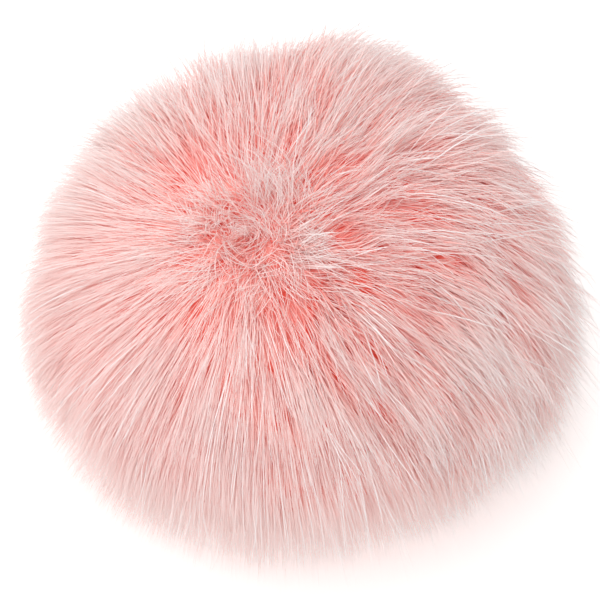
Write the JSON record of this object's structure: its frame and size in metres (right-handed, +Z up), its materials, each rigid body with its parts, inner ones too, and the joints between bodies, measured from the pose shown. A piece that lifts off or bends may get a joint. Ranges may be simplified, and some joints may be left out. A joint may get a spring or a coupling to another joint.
{
  "type": "fur pompom",
  "caption": "Soft round pompom of long pink fur that parts at a whorl and falls outwards and down to a small flat spot.",
  "frame": {"origin": "middle of the box's base, on the floor that the pompom rests on", "axes": "+X to the picture's right across the widest tips, +Y away from the camera, +Z up through the whorl's side of the ball"},
  "size_m": [0.1188, 0.1158, 0.0835],
  "materials": {
    "pile": "matt long fur, deep coral at the roots and pale pink to near white at the tips"
  },
  "bodies": {
    "root": {"fur_ball": "pile"}
  },
  "joints": []
}
